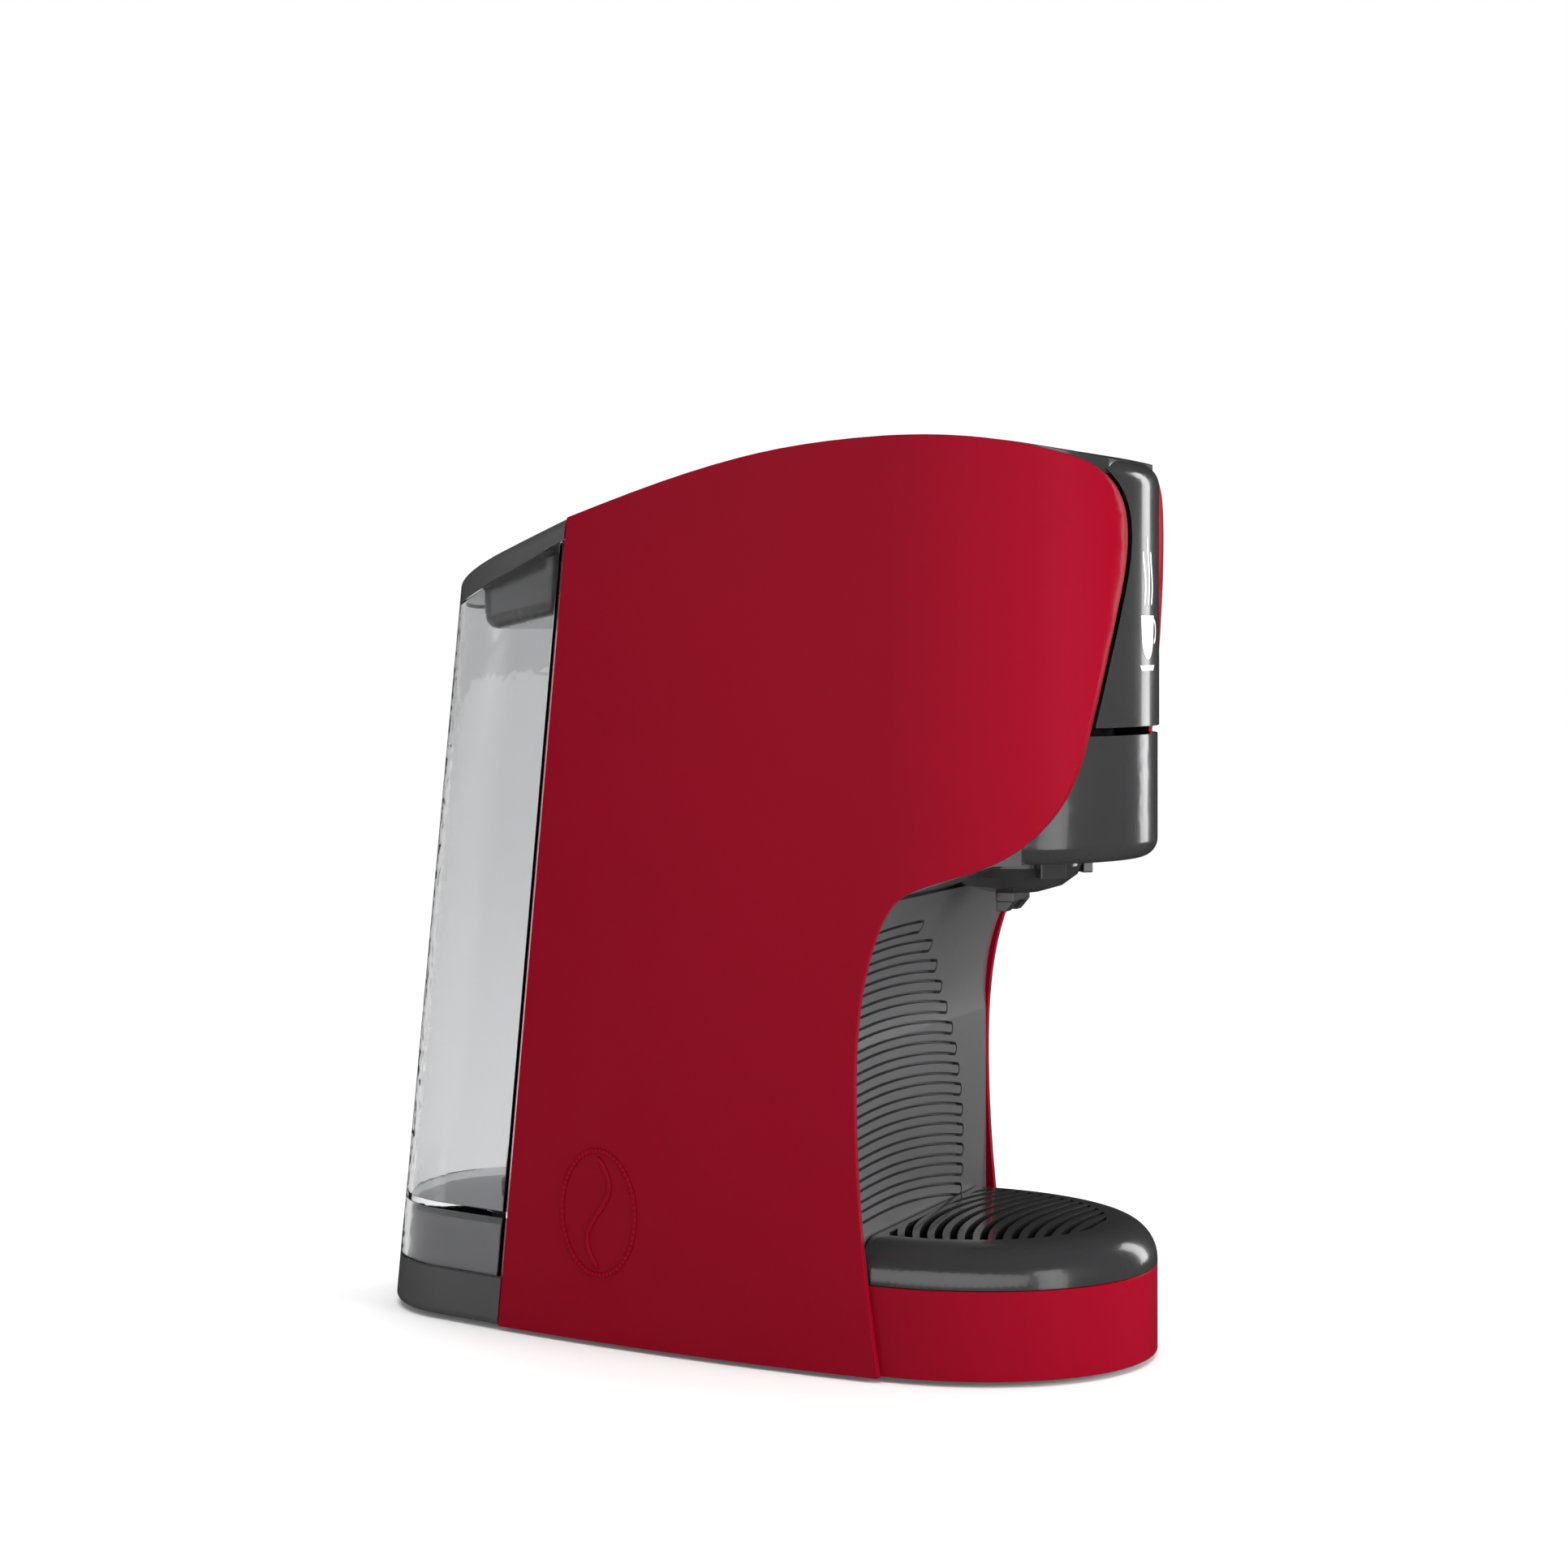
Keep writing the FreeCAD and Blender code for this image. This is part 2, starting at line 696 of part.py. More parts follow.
def joined(kind, name, pieces):
    """Fuse several primitives into one sub-part, or cut the later ones from the first."""
    if kind == "Cut":
        obj = doc.addObject("Part::Cut", name)
        obj.Base = pieces[0]
        obj.Tool = pieces[1]
    else:
        obj = doc.addObject("Part::MultiFuse", name)
        obj.Shapes = pieces
    return obj


def grouped(name, pieces):
    """Separate solids of one kind, kept in one sub-part."""
    group = doc.addObject("Part::Compound", name)
    group.Links = pieces
    return group


def side_plates():
    """Pair of frame plates that carry the hinge, the brew group and the boiler."""
    outer = size("frame_offset")
    thick = size("frame_thickness")
    low = size("ring_bottom") + size("plate_thickness")
    hinge = (size("hinge_depth"), size("hinge_height"))
    outline = [(88, low), (205, low), (182, 262), (112, 281), (hinge[0] + 4, hinge[1] + 4),
               (hinge[0] - 4, hinge[1] + 4), (92, 281), (32, 274), (28, 222), (28, 167), (66, 167),
               (88, 150)]
    pin_low = size("cross_pin_height")
    pin_high = pin_low + size("piston_lift")
    half = size("cross_pin_radius") + 0.4
    for name, start in (("left_frame", -outer - thick), ("right_frame", outer)):
        body = new_body(name)
        sketch = sketch_on(body, name + "_profile", "YZ_Plane", start)
        draw_polygon(sketch, [(back(depth), height) for depth, height in outline])
        pad(body, sketch, thick, name + "_plate", expression="Sizes.frame_thickness")
        holes = sketch_on(body, name + "_holes", "YZ_Plane", start)
        draw_polygon(holes, [(back(size("brew_depth")) - half, pin_low - half),
                             (back(size("brew_depth")) + half, pin_low - half),
                             (back(size("brew_depth")) + half, pin_high + half),
                             (back(size("brew_depth")) - half, pin_high + half)])
        draw_polygon(holes, [(back(112), 30), (back(190), 30), (back(184), 100), (back(112), 100)])
        draw_polygon(holes, [(back(120), 190), (back(180), 190), (back(172), 240), (back(128), 240)])
        draw_circle(holes, (back(hinge[0]), hinge[1]), size("hinge_pin_radius"))
        bind_radius(holes, holes.GeometryCount - 1, "Sizes.hinge_pin_radius")
        pocket(body, holes, thick * 3, name + "_cuts", midplane=True)


def hinge_pin():
    """Pin across the frame plates that the hood swings on."""
    pin = primitive("Cylinder", "hinge_pin", Radius="Sizes.hinge_pin_radius",
                    Height="2 * (Sizes.frame_offset + Sizes.frame_thickness)")
    reach = size("frame_offset") + size("frame_thickness")
    start = Vector(-reach, back(size("hinge_depth")), size("hinge_height"))
    pin.Placement = Placement(start, Rotation(Vector(0, 1, 0), 90))
    keep(pin, "hinge_pin")


def cam_path(steps=16):
    """Centre of the cam slot, so that the piston rises evenly as the hood swings up."""
    swing = math.radians(size("hood_swing"))
    points = []
    for step in range(steps + 1):
        turn = swing * step / steps
        away = size("brew_depth") - size("hinge_depth")
        rise = size("cross_pin_height") - size("hinge_height") + size("piston_lift") * step / steps
        depth = size("hinge_depth") + away * math.cos(turn) - rise * math.sin(turn)
        height = size("hinge_height") + away * math.sin(turn) + rise * math.cos(turn)
        points.append((depth, height))
    return points


def cam_slot(half):
    """Slot round the cam path with round ends, right across the machine."""
    path = cam_path()
    tangents = []
    for index in range(len(path)):
        before = path[max(index - 1, 0)]
        after = path[min(index + 1, len(path) - 1)]
        run = math.hypot(after[0] - before[0], after[1] - before[1])
        tangents.append(((after[0] - before[0]) / run, (after[1] - before[1]) / run))
    upper = [(p[0] - t[1] * half, p[1] + t[0] * half) for p, t in zip(path, tangents)]
    lower = [(p[0] + t[1] * half, p[1] - t[0] * half) for p, t in zip(path, tangents)]
    edges = [side_spline(upper), side_spline(lower)]
    edges += side_lines([upper[0], lower[0]]) + side_lines([upper[-1], lower[-1]])
    slot = across(edges)
    for end in (path[0], path[-1]):
        slot = slot.fuse(Part.makeCylinder(half, 2 * REACH, side_point(*end), Vector(1, 0, 0)))
    return slot


def cam_plates():
    """Two plates under the hood; their curved slots drive the cross pin of the piston."""
    start = size("cam_offset")
    thick = size("cam_thickness")
    roof = below(HOOD_CROWN, size("crown_thickness"), 100)
    profile = side_lines([(43, 300), (41, 236), (47, 229), (60, 221), (104, 211.5), (114, 212),
                          (119, 221), (111, 284), (108, 290.5), (100.6, 290.6), (93, 278.6),
                          (86, 279.8), (85.6, 288), (86, 300), (43, 300)])
    plate = across(profile).common(roof)
    hinge = side_point(size("hinge_depth"), size("hinge_height"))
    plate = plate.fuse(Part.makeCylinder(4.8, 2 * REACH, hinge, Vector(1, 0, 0)))
    bore = size("hinge_pin_radius") + size("running_fit")
    plate = plate.cut(Part.makeCylinder(bore, 2 * REACH, hinge, Vector(1, 0, 0)))
    plate = plate.cut(cam_slot(size("cross_pin_radius") + size("cam_clearance")))
    spans = {"left_cam": (-start - thick, -start), "right_cam": (start, start + thick)}
    for name, span in spans.items():
        feature(name, plate.common(block(span, (0, 150), (150, 310))))


def cross_pin():
    """Pin through the piston fork and both cam slots."""
    pin = primitive("Cylinder", "cross_pin", Radius="Sizes.cross_pin_radius",
                    Height="2 * (Sizes.frame_offset + 1.8)")
    start = Vector(-size("frame_offset") - 1.8, back(size("brew_depth")), size("cross_pin_height"))
    pin.Placement = Placement(start, Rotation(Vector(0, 1, 0), 90))
    keep(pin, "cross_pin")


def brew_piston():
    """Upper brew plate with a fork on top for the cross pin and a drilled way for the water."""
    radius = size("piston_radius")
    tall = size("piston_height")
    feed = size("feed_level")
    origin = (0, back(size("brew_depth")), size("piston_foot"))
    section = [(1.5, 1.2), (17, 1.2), (17, 0), (radius, 0), (radius, tall), (0, tall), (0, feed + 1.2),
               (1.5, feed + 1.2)]
    body = turned("brew_piston", section, origin)
    fork = sketch_on(body, "fork_plan", "XY_Plane", tall)
    for side in (-1, 1):
        draw_polygon(fork, [(side * 12, -8), (side * 18, -8), (side * 18, 8), (side * 12, 8)])
    pin = size("cross_pin_height") - size("piston_foot")
    pad(body, fork, pin - tall + 7, "fork")
    hole = sketch_on(body, "fork_hole", "YZ_Plane")
    draw_circle(hole, (0, pin), size("cross_pin_radius"))
    bind_radius(hole, 0, "Sizes.cross_pin_radius")
    pocket(body, hole, 60, "fork_bore", midplane=True)
    grooves = sketch_on(body, "groove_sections", "XZ_Plane")
    half = size("seal_radius") + 0.1
    for level, deep, tall_half in ((feed, 1.2, 1.0), (feed - size("seal_spread"), 2.4, half),
                                   (feed + size("seal_spread"), 2.4, half)):
        draw_polygon(grooves, [(radius - deep, level - tall_half), (radius + 2, level - tall_half),
                               (radius + 2, level + tall_half), (radius - deep, level + tall_half)])
    cut = body.newObject("PartDesign::Groove", "ring_grooves")
    cut.Profile = grooves
    cut.ReferenceAxis = (grooves, ["V_Axis"])
    cut.Angle = 360
    body.Tip = cut
    drilling = sketch_on(body, "drilling_face", "XZ_Plane")
    draw_circle(drilling, (0, feed), 0.9)
    pocket(body, drilling, 30, "drilling", reverse=True)


def piston_seals():
    """Two ring seals in the piston's grooves, above and below the water feed."""
    rings = []
    outer = size("guide_bore") - 0.05
    for name, side in (("lower", -1), ("upper", 1)):
        ring = primitive("Torus", name + "_ring", Radius2="Sizes.seal_radius")
        ring.Radius1 = outer - size("seal_radius")
        level = size("piston_foot") + size("feed_level") + side * size("seal_spread")
        ring.Placement = Placement(Vector(0, back(size("brew_depth")), level), Rotation())
        rings.append(ring)
    keep(grouped("piston_seals", rings), "piston_seals")


def shower_screen():
    """Perforated disc under the piston."""
    origin = (0, back(size("brew_depth")), size("piston_foot") - 1.4)
    body = turned("shower_screen", [(0, 0), (19.6, 0), (19.6, 1.4), (0, 1.4)], origin)
    axis = next(item for item in body.Origin.OriginFeatures if item.Role == "Z_Axis")
    for ring, radius in enumerate((6.0, 11.0, 16.0)):
        seed = sketch_on(body, f"screen_hole_{ring}", "XY_Plane", -1)
        draw_circle(seed, (radius, 0), 0.8)
        cut = pocket(body, seed, 4, f"screen_cut_{ring}", reverse=True)
        doc.recompute()
        repeat = body.newObject("PartDesign::PolarPattern", f"screen_ring_{ring}")
        repeat.Originals = [cut]
        repeat.Axis = (axis, [""])
        repeat.Angle = 360
        repeat.Occurrences = 8 + ring * 4
        body.Tip = repeat


def piston_gasket():
    """Face gasket round the shower screen, which seals on the pod."""
    origin = (0, back(size("brew_depth")), size("piston_foot") - 1.8)
    turned("piston_gasket", [(19.8, 0), (22.0, 0), (22.0, 1.8), (19.8, 1.8)], origin)


def piston_guide():
    """Fixed cylinder that the piston slides in, with an arm to each frame plate."""
    bore = size("guide_bore")
    tall = size("guide_height")
    origin = (0, back(size("brew_depth")), size("guide_foot"))
    body = turned("piston_guide", [(bore, 0), (27, 0), (27, tall), (bore, tall)], origin)
    arms = sketch_on(body, "guide_arms_plan", "XY_Plane")
    reach = size("frame_offset")
    for side in (-1, 1):
        draw_polygon(arms, [(side * 24, -9), (side * reach, -9), (side * reach, 9), (side * 24, 9)])
    pad(body, arms, 8, "guide_arms")
    feed = feed_height() - size("guide_foot")
    port = sketch_on(body, "guide_port_face", "XZ_Plane", -bore - 0.25)
    draw_circle(port, (0, feed), 4)
    pad(body, port, 8, "guide_port", reverse=True)
    way = sketch_on(body, "guide_feed_face", "XZ_Plane", -bore + 2)
    draw_circle(way, (0, feed), 1.5)
    pocket(body, way, 14, "guide_feed")


def feed_height():
    """Height at which the water enters the guide and the piston."""
    return size("piston_foot") + size("feed_level")


def pod_seat():
    """Metal bowl that holds the coffee pod, with an outlet in its floor."""
    origin = (0, back(size("brew_depth")), size("seat_foot"))
    points = [(2.5, 0), (21, 0), (24.4, 2.5), (24.4, 8), (29, 8), (29, 10), (22.9, 10), (22.9, 3.6),
              (20.4, 1.6), (2.5, 1.6)]
    turned("pod_seat", points, origin)


def brew_base():
    """Ring under the pod seat, on the flange of the spout dish."""
    foot = 169
    tall = size("seat_foot") + 8 - foot
    origin = (0, back(size("brew_depth")), foot)
    turned("brew_base", [(24.8, 0), (31, 0), (31, tall), (24.8, tall)], origin)


def spout_dish():
    """Shallow funnel that hangs through the floor of the head and collects the coffee."""
    origin = (0, back(size("brew_depth")), 152)
    points = [(2.5, 0), (9, 0), (16.5, 2.2), (21.4, 5.8), (22.8, 9), (22.8, 14.4), (29, 14.4), (29, 17),
              (20.6, 17), (20.6, 9.2), (19.6, 7.2), (15.4, 4.2), (8.6, 2.2), (2.5, 2.2)]
    turned("spout_dish", points, origin)


def spout_nozzle():
    """Twin outlet under the dish: a block with two chamfered prongs."""
    centre = back(size("brew_depth"))
    head = primitive("Box", "nozzle_head", Length=16, Width=6.4, Height=3)
    head.Placement = Placement(Vector(-8, centre - 3.2, 149), Rotation())
    prongs = []
    for side in (-1, 1):
        prong = primitive("Wedge", f"nozzle_prong_{'left' if side < 0 else 'right'}",
                          Xmin=-2.2, Xmax=2.2, Zmin=-3.2, Zmax=3.2, X2min=-2.2, X2max=2.2,
                          Z2min=-0.4, Z2max=3.2, Ymin=0, Ymax=3.4)
        turn = Rotation(Vector(1, 0, 0), -90)
        prong.Placement = Placement(Vector(side * 5, centre, 149), turn)
        prongs.append(prong)
    keep(joined("MultiFuse", "spout_nozzle", [head] + prongs), "spout_nozzle")


def spout_latches():
    """Two small latches on the front quarter of the dish, which hold it to the head."""
    for name, turn in (("left_spout_latch", -40), ("right_spout_latch", 40)):
        latch = primitive("Box", name, Length=9.6, Width=3.4, Height=6.2)
        spin = Rotation(Vector(0, 0, 1), turn)
        corner = spin.multVec(Vector(-4.8, -26.6, 157.8))
        latch.Placement = Placement(corner + Vector(0, back(size("brew_depth")), 0), spin)
        keep(latch, name)


def boiler():
    """Heating block behind the alcove, with its inlet and outlet stubs."""
    body = new_body("boiler", (0, back(96), 120))
    plan = sketch_on(body, "boiler_plan", "XY_Plane")
    draw_polygon(plan, [(-30, 0), (30, 0), (30, 50), (-30, 50)])
    pad(body, plan, 52, "boiler_block")
    coil = sketch_on(body, "boiler_fins", "XY_Plane", 52)
    for index in range(5):
        left = -26 + index * 11.5
        draw_polygon(coil, [(left, 5), (left + 5, 5), (left + 5, 24), (left, 24)])
    pad(body, coil, 4, "boiler_ribs")
    inlet = sketch_on(body, "boiler_inlet_plan", "XY_Plane")
    draw_circle(inlet, (0, 9), 4)
    pad(body, inlet, 6, "boiler_inlet", reverse=True)
    outlet = sketch_on(body, "boiler_outlet_plan", "XY_Plane", 52)
    draw_circle(outlet, (0, 40), 4)
    pad(body, outlet, 8, "boiler_outlet")


def boiler_bracket():
    """Shelf between the frame plates under the boiler."""
    shelf = primitive("Box", "boiler_bracket", Length="2 * Sizes.frame_offset", Width=34, Height=3)
    shelf.Placement = Placement(Vector(-size("frame_offset"), back(114), 117), Rotation())
    keep(shelf, "boiler_bracket")


def pump():
    """Vibration pump: a turned barrel with a square coil round it."""
    body = new_body("pump", (0, back(104), 45))
    barrel = sketch_on(body, "barrel_section", "YZ_Plane")
    draw_polygon(barrel, [(0, 0), (0, 3.2), (8, 3.2), (8, 12), (66, 12), (66, 3.2), (74, 3.2), (74, 0)])
    turn = body.newObject("PartDesign::Revolution", "barrel")
    turn.Profile = barrel
    turn.ReferenceAxis = (barrel, ["H_Axis"])
    turn.Angle = 360
    coil = sketch_on(body, "coil_face", "XZ_Plane", -22)
    draw_polygon(coil, [(-21, -20), (21, -20), (21, 20), (-21, 20)])
    pad(body, coil, 34, "coil", reverse=True)


def pump_mounts():
    """Rubber cradles that hold the pump off the floor."""
    low = size("ring_bottom") + size("plate_thickness")
    for name, depth in (("front_pump_mount", 114.5), ("rear_pump_mount", 162)):
        cradle = primitive("Box", name + "_block", Length=32, Width=6, Height=56 - low)
        cradle.Placement = Placement(Vector(-16, back(depth), low), Rotation())
        hole = primitive("Cylinder", name + "_hole", Radius=12, Height=10)
        hole.Placement = Placement(Vector(0, back(depth) - 2, 45), Rotation(Vector(1, 0, 0), -90))
        keep(joined("Cut", name, [cradle, hole]), name)


def hose(label, route):
    """Hose along straight runs joined by tangent arcs; the route is depth and height."""
    radius = size("hose_radius")
    points = [Vector(0, back(depth), height) for depth, height in route]
    edges = []
    start = points[0]
    for before, corner, after in zip(points, points[1:], points[2:]):
        into = (corner - before).normalize()
        out = (after - corner).normalize()
        half_turn = into.getAngle(out) / 2
        trim = 0.45 * min((corner - before).Length, (after - corner).Length)
        bend = trim / math.tan(half_turn)
        first = corner - into * trim
        last = corner + out * trim
        inward = (out - into).normalize()
        centre = corner + inward * (bend / math.cos(half_turn))
        edges.append(Part.LineSegment(start, first).toShape())
        edges.append(arc_about(centre, first, last))
        start = last
    edges.append(Part.LineSegment(start, points[-1]).toShape())
    path = Part.Wire(edges)
    section = Part.Wire(Part.Circle(points[0], points[1] - points[0], radius).toShape())
    feature(label, path.makePipeShell([section], True, False))


def hoses():
    """Water line from the tank to the pump, on to the boiler and up to the brew group."""
    low = size("line_height")
    hose("inlet_hose", [(size("valve_depth") - 5, low), (200, low), (192, 45), (178, 45)])
    hose("pressure_hose", [(104, 45), (93.5, 45), (93.5, 92), (105, 101), (105, 114)])
    feed = feed_height()
    hose("brew_hose", [(136, 180), (136, 207), (117, feed), (80.6, feed)])


def controls():
    """Two push buttons on the top cover, their switches and the control board."""
    top = 291.9
    board = size("board_height")
    slab = primitive("Box", "control_board", Length="2 * Sizes.frame_offset", Width=50, Height=1.6)
    slab.Placement = Placement(Vector(-size("frame_offset"), back(124), board), Rotation())
    keep(slab, "control_board")
    for side, key in ((-1, "power"), (1, "brew")):
        place = Vector(side * size("button_spread"), back(size("button_depth")), 0)
        switch = primitive("Box", key + "_switch", Length=11, Width=11, Height=8)
        switch.Placement = Placement(place + Vector(-5.5, -5.5, board + 1.6), Rotation())
        keep(switch, key + "_switch")
        foot = board + 1.6 + 8 + 1.9
        stem = Part.makeCylinder(3, 288 - foot, place + Vector(0, 0, foot))
        cap = Part.makeCylinder(size("button_radius"), top - 283, place + Vector(0, 0, 283))
        cap = cap.common(below(CROWN, -0.6, 200))
        feature(key + "_button", stem.fuse(cap))


def tank_valve():
    """Spring valve in the floor of the tank; its tapered nose dips into the socket."""
    origin = (0, back(size("valve_depth")), size("tank_floor"))
    points = [(0, -6.5), (4.0, -6.5), (4.5, -3.5), (4.5, -2), (6.3, 0), (6.3, 2.2), (10, 2.2), (10, 5),
              (7, 5), (7, 13), (5.5, 15), (0, 15)]
    turned("tank_valve", points, origin)


def valve_socket():
    """Cup on the shelf that opens the tank valve, with an elbow under it for the water line."""
    foot = size("shelf_top")
    floor = size("line_height") - 4.2
    origin = (0, back(size("valve_depth")), 0)
    points = [(0, floor), (5, floor), (5, foot), (9.2, foot), (9.2, 34.9), (5.6, 34.9), (5.6, 29),
              (2, 29), (2, floor + 2), (0, floor + 2)]
    body = turned("valve_socket", points, origin)
    elbow = sketch_on(body, "elbow_face", "XZ_Plane")
    draw_circle(elbow, (0, size("line_height")), 2)
    pocket(body, elbow, 12, "elbow", reverse=True)


def valve_seal():
    """Ring seal in the socket, round the nose of the valve."""
    ring = primitive("Torus", "valve_seal", Radius1=5.0, Radius2=0.55)
    ring.Placement = Placement(Vector(0, back(size("valve_depth")), 33.9), Rotation())
    keep(ring, "valve_seal")


def cable_gland():
    """Rubber gland at the tail of the shelf, where a mains lead would enter."""
    radius = size("gland_radius")
    flange = size("gland_flange")
    bore = size("lead_radius")
    length = size("total_length") - 0.3 - size("gland_depth")
    body = new_body("cable_gland", (0, back(size("gland_depth")), size("gland_height")))
    section = sketch_on(body, "gland_section", "YZ_Plane")
    draw_polygon(section, [(0, bore), (0, radius + 1.3), (flange, radius + 1.3), (flange, radius),
                           (length, radius), (length, bore)])
    turn = body.newObject("PartDesign::Revolution", "gland")
    turn.Profile = section
    turn.ReferenceAxis = (section, ["H_Axis"])
    turn.Angle = 360
    body.Tip = turn


def rubber_feet():
    """Feet under the base plate and the shelf."""
    top = size("ring_bottom")
    spots = [(-34, 42), (34, 42), (-38, 200), (38, 200)]
    feet = []
    for index, (x, depth) in enumerate(spots):
        foot = primitive("Cylinder", f"foot_{index}", Radius="Sizes.foot_radius", Height=top)
        foot.Placement = Placement(Vector(x, back(depth), 0), Rotation())
        feet.append(foot)
    keep(grouped("rubber_feet", feet), "rubber_feet")


def frame_screws():
    """Cap screws that fix the boiler shelf and the guide arms to the frame plates."""
    reach = size("frame_offset") + size("frame_thickness")
    spots = [(50, 216), (122, 118.5), (142, 118.5)]
    screws = []
    for index, (depth, height) in enumerate(spots):
        for side in (-1, 1):
            screw = primitive("Cylinder", f"screw_{index}_{'left' if side < 0 else 'right'}",
                              Radius=2.6, Height=1.8)
            turn = Rotation(Vector(0, 1, 0), 90 * side)
            screw.Placement = Placement(Vector(side * reach, back(depth), height), turn)
            screws.append(screw)
    keep(grouped("frame_screws", screws), "frame_screws")


# ---------------------------------------------------------------- build and export

for make in (side_shells, top_cover, bulkhead, head_front, hood, alcove_wall, base_ring, drip_cover,
             drip_tub, base_plate, rear_shelf, tank_pedestal, water_tank, tank_lid, side_plates,
             hinge_pin, cam_plates, cross_pin, brew_piston, piston_seals, shower_screen, piston_gasket,
             piston_guide, pod_seat, brew_base, spout_dish, spout_nozzle, spout_latches, boiler,
             boiler_bracket, pump, pump_mounts, hoses, controls, tank_valve, valve_socket, valve_seal,
             cable_gland, rubber_feet, frame_screws):
    print(make.__name__)
    make()
doc.recompute()

failed = [obj.Label for obj in doc.Objects if "Invalid" in obj.State or "Error" in obj.State]
for obj in nodes:
    if obj.Shape.isNull() or not obj.Shape.isValid() or not obj.Shape.Solids:
        failed.append(obj.Label)
if failed:
    raise SystemExit("failed: " + ", ".join(failed))

os.makedirs("parts", exist_ok=True)
for obj in nodes:
    obj.Shape.exportStep(f"parts/{obj.Label}.step")
    box = obj.Shape.BoundBox
    print(f"{obj.Label:18s} solids {len(obj.Shape.Solids)} volume {obj.Shape.Volume:9.0f} "
          f"x {box.XMin:7.1f} {box.XMax:7.1f} y {box.YMin:7.1f} {box.YMax:7.1f} "
          f"z {box.ZMin:6.1f} {box.ZMax:6.1f}")
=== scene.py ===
import json
import math

import bmesh
import bpy
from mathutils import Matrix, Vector
from mathutils.bvhtree import BVHTree


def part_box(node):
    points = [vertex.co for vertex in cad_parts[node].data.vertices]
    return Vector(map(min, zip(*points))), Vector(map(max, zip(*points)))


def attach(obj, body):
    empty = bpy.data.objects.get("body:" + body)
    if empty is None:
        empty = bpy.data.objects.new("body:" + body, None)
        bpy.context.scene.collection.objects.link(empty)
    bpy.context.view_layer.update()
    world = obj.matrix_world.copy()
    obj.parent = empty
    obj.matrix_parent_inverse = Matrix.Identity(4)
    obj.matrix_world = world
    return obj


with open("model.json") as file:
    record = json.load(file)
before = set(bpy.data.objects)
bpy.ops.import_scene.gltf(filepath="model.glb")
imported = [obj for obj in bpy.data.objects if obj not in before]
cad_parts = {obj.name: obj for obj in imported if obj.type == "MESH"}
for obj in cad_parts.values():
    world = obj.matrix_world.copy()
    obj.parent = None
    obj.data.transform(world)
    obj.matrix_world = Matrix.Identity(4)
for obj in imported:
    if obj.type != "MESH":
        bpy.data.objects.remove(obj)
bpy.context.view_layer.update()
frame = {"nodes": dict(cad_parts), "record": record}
nodes = frame["nodes"]
scene = bpy.context.scene

# ---------------------------------------------------------------- materials


def shader(name, color, roughness, metallic=0.0, coat=0.0, coat_roughness=0.05, transmission=0.0,
           ior=1.5, specular=0.5):
    """New node material; every value that is the same all over sits on the shader's own socket."""
    material = bpy.data.materials.new(name)
    material.use_nodes = True
    bsdf = material.node_tree.nodes["Principled BSDF"]
    bsdf.inputs["Base Color"].default_value = (*color, 1)
    bsdf.inputs["Roughness"].default_value = roughness
    bsdf.inputs["Metallic"].default_value = metallic
    bsdf.inputs["Coat Weight"].default_value = coat
    bsdf.inputs["Coat Roughness"].default_value = coat_roughness
    bsdf.inputs["Transmission Weight"].default_value = transmission
    bsdf.inputs["IOR"].default_value = ior
    bsdf.inputs["Specular IOR Level"].default_value = specular
    material.diffuse_color = (*color, 1)
    return material, material.node_tree, bsdf


def noise(tree, scale, detail=3.0, stretch=(1, 1, 1)):
    """Noise in the object's own coordinates, in metres."""
    place = tree.nodes.new("ShaderNodeTexCoord")
    mapping = tree.nodes.new("ShaderNodeMapping")
    mapping.inputs["Scale"].default_value = stretch
    texture = tree.nodes.new("ShaderNodeTexNoise")
    texture.inputs["Scale"].default_value = scale
    texture.inputs["Detail"].default_value = detail
    tree.links.new(place.outputs["Object"], mapping.inputs["Vector"])
    tree.links.new(mapping.outputs["Vector"], texture.inputs["Vector"])
    return texture.outputs["Fac"]


def spread(tree, value, low, high):
    """Noise mapped to a range of values."""
    node = tree.nodes.new("ShaderNodeMapRange")
    node.interpolation_type = "SMOOTHSTEP"
    node.inputs["From Min"].default_value = 0.2
    node.inputs["From Max"].default_value = 0.8
    node.inputs["To Min"].default_value = low
    node.inputs["To Max"].default_value = high
    tree.links.new(value, node.inputs["Value"])
    return node.outputs["Result"]


def tint(tree, value, color, share):
    """Colour that drifts either side of a base colour."""
    mix = tree.nodes.new("ShaderNodeMix")
    mix.data_type = "RGBA"
    dark = [channel * (1 - share) for channel in color]
    light = [min(1.0, channel * (1 + share)) for channel in color]
    mix.inputs["A"].default_value = (*dark, 1)
    mix.inputs["B"].default_value = (*light, 1)
    tree.links.new(value, mix.inputs["Factor"])
    return mix.outputs["Result"]


def grain(tree, bsdf, value, strength, distance):
    bump = tree.nodes.new("ShaderNodeBump")
    bump.inputs["Strength"].default_value = strength
    bump.inputs["Distance"].default_value = distance
    tree.links.new(value, bump.inputs["Height"])
    tree.links.new(bump.outputs["Normal"], bsdf.inputs["Normal"])


def plastic(name, color, roughness, coat=0.0, drift=0.06, texture=(900, 0.05), specular=0.5):
    """Moulded plastic: slight colour drift, uneven gloss and a fine skin texture."""
    material, tree, bsdf = shader(name, color, roughness, coat=coat, specular=specular)
    broad = noise(tree, 9.0, 2.0)
    tree.links.new(tint(tree, spread(tree, broad, 0, 1), color, drift), bsdf.inputs["Base Color"])
    smudge = noise(tree, 42.0, 4.0)
    tree.links.new(spread(tree, smudge, roughness * 0.88, roughness * 1.14), bsdf.inputs["Roughness"])
    grain(tree, bsdf, noise(tree, texture[0], 2.0), texture[1], 0.0004)
    return material


